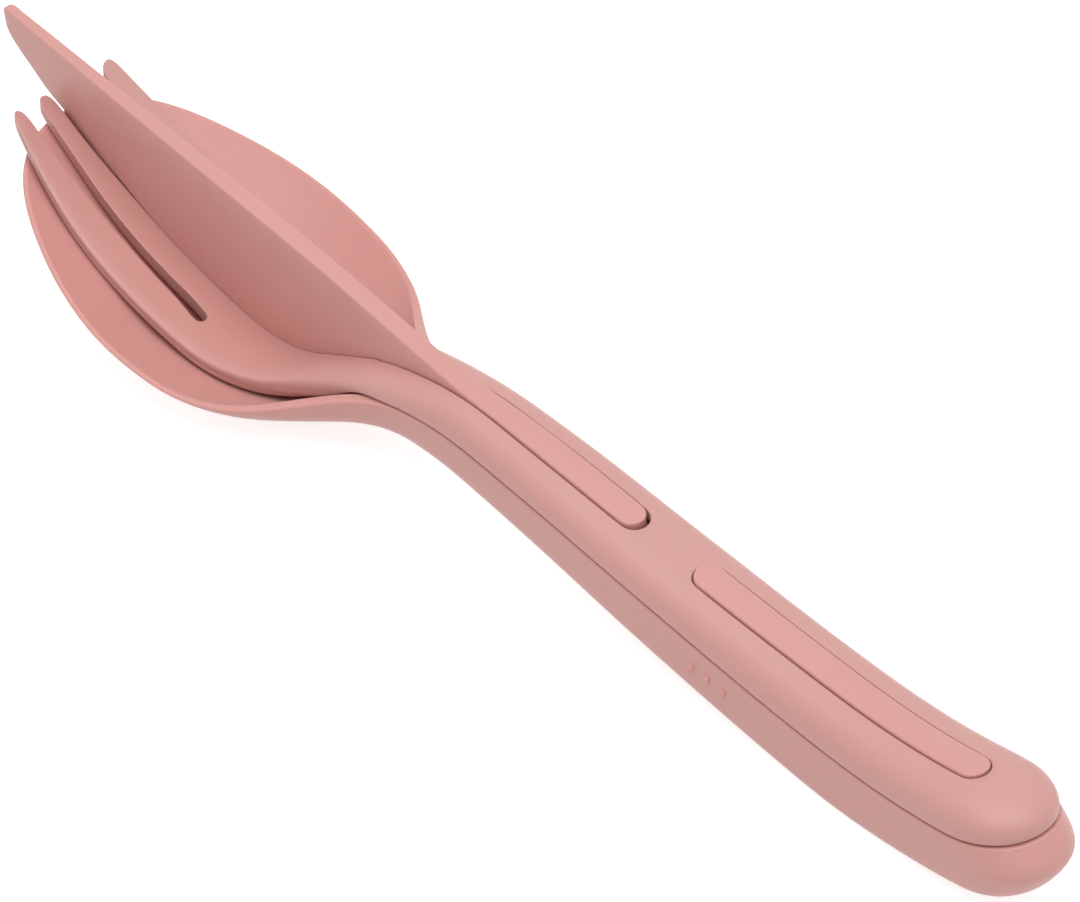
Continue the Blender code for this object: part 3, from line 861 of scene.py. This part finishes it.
    def build(self) -> bpy.types.Object:
        """Return the fork."""
        stations = self.rows()
        tips = steps(0, 1, self.tip_rows, Ease.STOP)[1:]
        half = len(self.columns(self.root)) - 1
        bm = bmesh.new()
        up = bm.verts.layers.float_vector.new("up")
        low = bm.verts.layers.float_vector.new("low")
        count = len(stations) + len(tips) - 1
        bmesh.ops.create_grid(bm, x_segments=count, y_segments=2 * half, size=1.0)
        index = {v: (round((v.co.x + 1) / 2 * count), round((v.co.y + 1) * half) - half) for v in bm.verts}
        gone = [f for f in bm.faces
                if self.open_cells(stations, min(index[v][0] for v in f.verts),
                                   min(abs(index[v][1]) for v in f.verts))]
        for vert, (i, j) in index.items():
            for layer, (s, y, z) in zip((up, low), self.cell(stations, tips, i, abs(j))):
                vert[layer] = self.nest.place(s, math.copysign(y, j), z)
            vert.co = vert[up]
        bmesh.ops.delete(bm, geom=gone, context="FACES")
        bmesh.ops.remove_doubles(bm, verts=bm.verts, dist=MERGE)
        faces = bm.faces[:]
        for depth in (*self.ring, 1.0):
            out = bmesh.ops.extrude_face_region(bm, geom=faces, use_keep_orig=depth == self.ring[0])
            faces = [g for g in out["geom"] if isinstance(g, bmesh.types.BMFace)]
            for vert in {v for f in faces for v in f.verts}:
                vert.co = vert[up].lerp(vert[low], depth)
        close(bm, FINE_MERGE)
        fork = make_object("fork_moulding", bm)
        smooth_surface(fork)
        shade(fork, self.sharp_angle)
        return fork


@dataclass
class Knife:
    """Blade on edge over the fork, with a pad in each of the fork's slots and a hidden bar between."""

    nest: Nest
    fork: Fork
    spoon: Spoon
    rear_pad: tuple[float, float] = (10.7, 61.2)
    rear_half: float = 2.22
    front_pad: float = 71.6
    proud: float = 0.3
    pad_depth: float = 6.0
    blade_root: float = 11.2
    half_knots: Knots = ((71.6, 2.05), (85, 2.05), (98, 1.8), (110, 1.5), (140, 1.3), (170, 1.05),
                         (195.4, 0.8))
    edge_knots: Knots = ((119.2, 1.4), (135, 1.1), (160, 0.9), (172.5, 0.7), (183, 0.6), (195.4, 0.5))
    spine_knots: Knots = ((103, 19.4), (110, 20.1), (120, 21.5), (130, 22.95), (145, 24.5), (160, 25.95),
                          (178.3, 27.75), (192.4, 29.15), (194.4, 29.3), (195.1, 28.9), (195.4, 28.0))
    belly_knots: Knots = ((182.9, 18.2), (186.2, 19.6), (190.4, 22.3), (192.5, 23.7), (194.4, 25.5),
                          (195.1, 26.7), (195.4, 27.6))
    belly_rise: float = 12.0
    belly_clear: float = 0.02
    bar: tuple[float, float] = (5.5, 112.0)
    bar_half: float = 2.9
    bar_rise: float = 0.75
    bar_clears: float = 2.0     # the bar stays this many gaps above the spoon
    pad_round: float = 0.35
    spine_round: float = 0.3
    edge_round: float = 0.2
    most_round: float = 0.9
    round_to_height: float = 2.2
    low_steps: int = 3
    high_steps: int = 4
    side_shares: tuple[float, ...] = (0.2, 0.4, 0.6, 0.8)
    pad_tops: tuple[float, float] = (85.0, 95.0)
    nose_start: float = 0.05    # angle at which a pad's round end starts, just past its very tip
    leave_play: float = 0.1
    least_height: float = 0.3
    tip_left: float = 0.05
    tip_taper: float = 0.8
    nose_rows: int = 8
    pad_rows: int = 24
    blade_rows: int = 40
    tip_rows: int = 24
    bar_rows: int = 24
    sharp_angle: float = 40.0
    spine: Curve = field(init=False)
    belly_front: Curve = field(init=False)
    half: Curve = field(init=False)
    edge_half: Curve = field(init=False)

    def __post_init__(self) -> None:
        """Make the curves from the knots."""
        top = self.fork.top
        start = [(s, top(s) + self.proud) for s in (self.front_pad, *self.pad_tops)]
        self.spine, self.belly_front = Curve(*start, *self.spine_knots), Curve(*self.belly_knots)
        self.half, self.edge_half = Curve(*self.half_knots), Curve(*self.edge_knots)

    def belly(self, s: float) -> float:
        """Return the blade's lower edge: on the fork's palm, into the middle gap, then up to the tip.

        Args:
            s: The station.

        Returns:
            The height.
        """
        start, height = self.belly_knots[0]
        if s > start:
            return self.belly_front(s)
        top, clear = self.fork.top, self.belly_clear
        return blend(top(s) + clear, height + top(s) - top(start), (s - start) / self.belly_rise + 1)

    def section(self, s: float, half: float, low_half: float, low: float, high: float, r: float,
                low_r: float) -> list[Point]:
        """Return half an upright cross-section with rounded corners.

        Args:
            s: The station.
            half: Half thickness at the top.
            low_half: Half thickness at the bottom.
            low: Height of the bottom.
            high: Height of the top.
            r: Radius of the upper corner.
            low_r: Radius of the lower corner.

        Returns:
            Points as (station, side, height), from the bottom to the top.
        """
        most = (high - low) / self.round_to_height
        r, low_r = min(r, half * self.most_round, most), min(low_r, low_half * self.most_round, most)
        points = [(s, 0.0, low)]
        points += [(s, low_half - low_r + low_r * math.sin(t), low + low_r * (1 - math.cos(t)))
                   for t in steps(0, math.pi / 2, self.low_steps)]
        points += [(s, low_half + (half - low_half) * t, low + low_r + (high - r - low - low_r) * t)
                   for t in self.side_shares]
        points += [(s, half - r + r * math.cos(t), high - r + r * math.sin(t))
                   for t in steps(0, math.pi / 2, self.high_steps)]
        return points + [(s, 0.0, high)]

    def loft(self, name: str, rows: list[list[Point]]) -> bpy.types.Object:
        """Return a closed solid through half cross-sections, mirrored about the middle plane.

        Args:
            name: Name of the solid.
            rows: The cross-sections in order of station.

        Returns:
            The solid.
        """
        rows = [[(s, 0.0, z) for s, _, z in rows[0]]] + rows + [[(s, 0.0, z) for s, _, z in rows[-1]]]

        def put(bm: bmesh.types.BMesh, vert: bmesh.types.BMVert, i: int, j: int) -> None:
            """Place one vertex of the half net."""
            vert.co = self.nest.place(*rows[i][j])

        bm = grid(len(rows), len(rows[0]), put)
        mirror_half(bm)
        return make_object(name, bm)

    def blade(self) -> bpy.types.Object:
        """Return the front pad and the blade, whose edge rests along the fork."""
        top, rows = self.fork.top, []
        r = self.half(self.front_pad)
        for t in steps(self.nose_start, math.pi / 2, self.nose_rows):
            s = self.front_pad + r * (1 - math.cos(t))
            half = r * math.sin(t)
            rows.append(self.section(s, half, half, top(s) - self.pad_depth, self.spine(s),
                                     self.pad_round, self.edge_round))
        leave = self.fork.front_slot[1] - self.nest.clear
        for s in steps(self.front_pad + r, leave - self.leave_play, self.pad_rows)[1:]:
            low = max(top(s) - self.pad_depth, self.blade_root)
            rows.append(self.section(s, self.half(s), self.half(s), low, self.spine(s),
                                     self.pad_round, self.edge_round))
        start, tip = self.belly_knots[0][0], self.nest.knife_tip
        for s in (steps(leave, start, self.blade_rows)
                  + steps(start, tip, self.tip_rows, Ease.STOP)[1:]):
            high = self.spine(s)
            last = math.sqrt(min(max((tip + self.tip_left - s) / self.tip_taper, 0.0), 1.0))
            rows.append(self.section(s, self.half(s) * last, self.edge_half(s) * last,
                                     min(self.belly(s), high - self.least_height), high,
                                     self.spine_round, self.edge_round))
        return self.loft("knife_moulding", rows)

    def pad(self) -> bpy.types.Object:
        """Return the long pad that fills the rear slot."""
        top, (a, b), r = self.fork.top, self.rear_pad, self.rear_half
        ends = [(1 - math.cos(t), math.sin(t)) for t in steps(self.nose_start, math.pi / 2, self.nose_rows)]
        plan = [(a + r * u, r * h) for u, h in ends]
        plan += [(s, r) for s in steps(a + r, b - r, self.pad_rows)[1:-1]]
        plan += [(b - r * u, r * h) for u, h in reversed(ends)]
        return self.loft("rear_pad", [self.section(s, h, h, top(s) - self.pad_depth, top(s) + self.proud,
                                                   self.pad_round, self.edge_round) for s, h in plan])

    def hidden_bar(self) -> bpy.types.Object:
        """Return the bar inside the handle that joins the two pads."""
        fork, clear, rows = self.fork, self.nest.clear, []
        for s in steps(*self.bar, self.bar_rows):
            edge = fork.edge(s)
            high = edge + self.bar_rise * (fork.top(s) - fork.wall(s) - edge) - clear
            rows.append(self.section(s, self.bar_half, self.bar_half,
                                     self.spoon.keel(s) + self.spoon.floor(s) + self.bar_clears * clear,
                                     high,
                                     self.pad_round, self.pad_round))
        return self.loft("hidden_bar", rows)

    def build(self) -> bpy.types.Object:
        """Return the knife."""
        knife = self.blade()
        unite(knife, [self.hidden_bar(), self.pad()])
        shade(knife, self.sharp_angle)
        return knife


@dataclass(frozen=True)
class Studio:
    """Plain pale floor, soft light and the camera at the photograph's angle."""

    look_at: Point = (0.001, 0.0, 0.012)
    back: Point = (-0.54564, 0.50977, 0.66514)
    right: Point = (-0.68362, -0.72983, -0.00145)
    up: Point = (0.48470, -0.45550, 0.74672)
    distance: float = 0.989
    sensor: float = 36.0
    near_far: tuple[float, float] = (0.01, 20.0)
    lens: float = 255.2
    shift: tuple[float, float] = (0.0352, 0.0006)
    floor_colour: str = "#DEDDDC"
    floor_size: float = 6.0
    floor_lift: float = 0.74
    sky: float = 0.6
    key_watts: float = 7.4
    key_size: float = 0.9
    key_at: Point = (-0.14, 0.07, 1.12)
    fill_watts: float = 0.35
    fill_size: float = 0.8
    fill_at: Point = (-0.75, 0.75, 0.5)

    @staticmethod
    def seen(tree: bpy.types.NodeTree) -> bpy.types.NodeSocket:
        """Return 1 for what is seen straight on, in gloss or through glass, and 0 for light.

        Args:
            tree: The node tree that needs it.

        Returns:
            The socket with the value.
        """
        path = add_node(tree, "ShaderNodeLightPath").outputs
        first = add_node(tree, "ShaderNodeMath", {"operation": "MAXIMUM"},
                         {0: path["Is Camera Ray"], 1: path["Is Glossy Ray"]}).outputs[0]
        return add_node(tree, "ShaderNodeMath", {"operation": "MAXIMUM"},
                        {0: first, 1: path["Is Transmission Ray"]}).outputs[0]

    def floor(self) -> bpy.types.Object:
        """Return the pale floor, which keeps the object's shadow."""
        bm = bmesh.new()
        bmesh.ops.create_grid(bm, x_segments=1, y_segments=1, size=self.floor_size / 2)
        floor = make_object("floor", bm)
        mat = bpy.data.materials.new("matte_white_card")
        mat.use_nodes = True
        tree = mat.node_tree
        tree.nodes.clear()
        card = add_node(tree, "ShaderNodeBsdfDiffuse", {"Color": linear(self.floor_colour)}).outputs[0]
        lift = add_node(tree, "ShaderNodeMath", {"operation": "MULTIPLY", 1: self.floor_lift},
                        {0: self.seen(tree)}).outputs[0]
        glow = add_node(tree, "ShaderNodeEmission", None, {"Strength": lift}).outputs[0]
        both = add_node(tree, "ShaderNodeAddShader", None, {0: card, 1: glow}).outputs[0]
        add_node(tree, "ShaderNodeOutputMaterial", None, {"Surface": both})
        floor.data.materials.append(mat)
        return floor

    def world(self) -> None:
        """Light the set evenly from all round, and show white behind it."""
        world = bpy.data.worlds.new("studio")
        bpy.context.scene.world = world
        world.use_nodes = True
        tree = world.node_tree
        tree.nodes.clear()
        white = linear("#FFFFFF")
        light = add_node(tree, "ShaderNodeBackground", {"Color": white, "Strength": self.sky}).outputs[0]
        shown = add_node(tree, "ShaderNodeBackground", {"Color": white, "Strength": 1.0}).outputs[0]
        mix = add_node(tree, "ShaderNodeMixShader", None, {0: self.seen(tree), 1: light, 2: shown}).outputs[0]
        add_node(tree, "ShaderNodeOutputWorld", None, {"Surface": mix})

    @staticmethod
    def lamp(name: str, at: Point, watts: float, size: float) -> None:
        """Hang a square soft lamp that faces the set.

        Args:
            name: Name of the lamp.
            at: Where it hangs, in metres.
            watts: Its power.
            size: Length of its side in metres.
        """
        data = bpy.data.lights.new(name, "AREA")
        data.energy, data.size = watts, size
        lamp = bpy.data.objects.new(name, data)
        bpy.context.scene.collection.objects.link(lamp)
        lamp.location = at
        lamp.rotation_euler = Vector(at).to_track_quat("Z", "Y").to_euler()

    def camera(self) -> None:
        """Set the camera where the photograph was taken from."""
        data = bpy.data.cameras.new("camera")
        data.sensor_width, data.lens = self.sensor, self.lens
        data.shift_x, data.shift_y = self.shift
        data.clip_start, data.clip_end = self.near_far
        camera = bpy.data.objects.new("camera", data)
        bpy.context.scene.collection.objects.link(camera)
        matrix = Matrix((self.right, self.up, self.back)).transposed().to_4x4()
        matrix.translation = Vector(self.look_at) + Vector(self.back) * self.distance
        camera.matrix_world = matrix
        bpy.context.scene.camera = camera

    def build(self) -> None:
        """Make the floor, the light and the camera."""
        self.floor()
        self.world()
        self.lamp("key", self.key_at, self.key_watts, self.key_size)
        self.lamp("fill", self.fill_at, self.fill_watts, self.fill_size)
        self.camera()
        bpy.context.scene.view_settings.view_transform = "Standard"


def main() -> None:
    """Build the set in order, dress it and stage it."""
    logging.basicConfig(level=logging.INFO, format="%(name)s: %(message)s")
    nest = Nest()
    spoon = Spoon(nest)
    fork = Fork(nest)
    knife = Knife(nest, fork, spoon)
    for part, node in ((spoon, "spoon"), (fork, "fork"), (knife, "knife")):
        piece = part.build()
        piece.data.materials.append(MouldedPolypropylene().make(f"moulded_polypropylene_{node}"))
        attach(piece, "root")
        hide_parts(node)
        LOG.info("%s: %d faces before any smoothing", piece.name, len(piece.data.polygons))
    Studio().build()


if __name__ == "__main__":
    main()
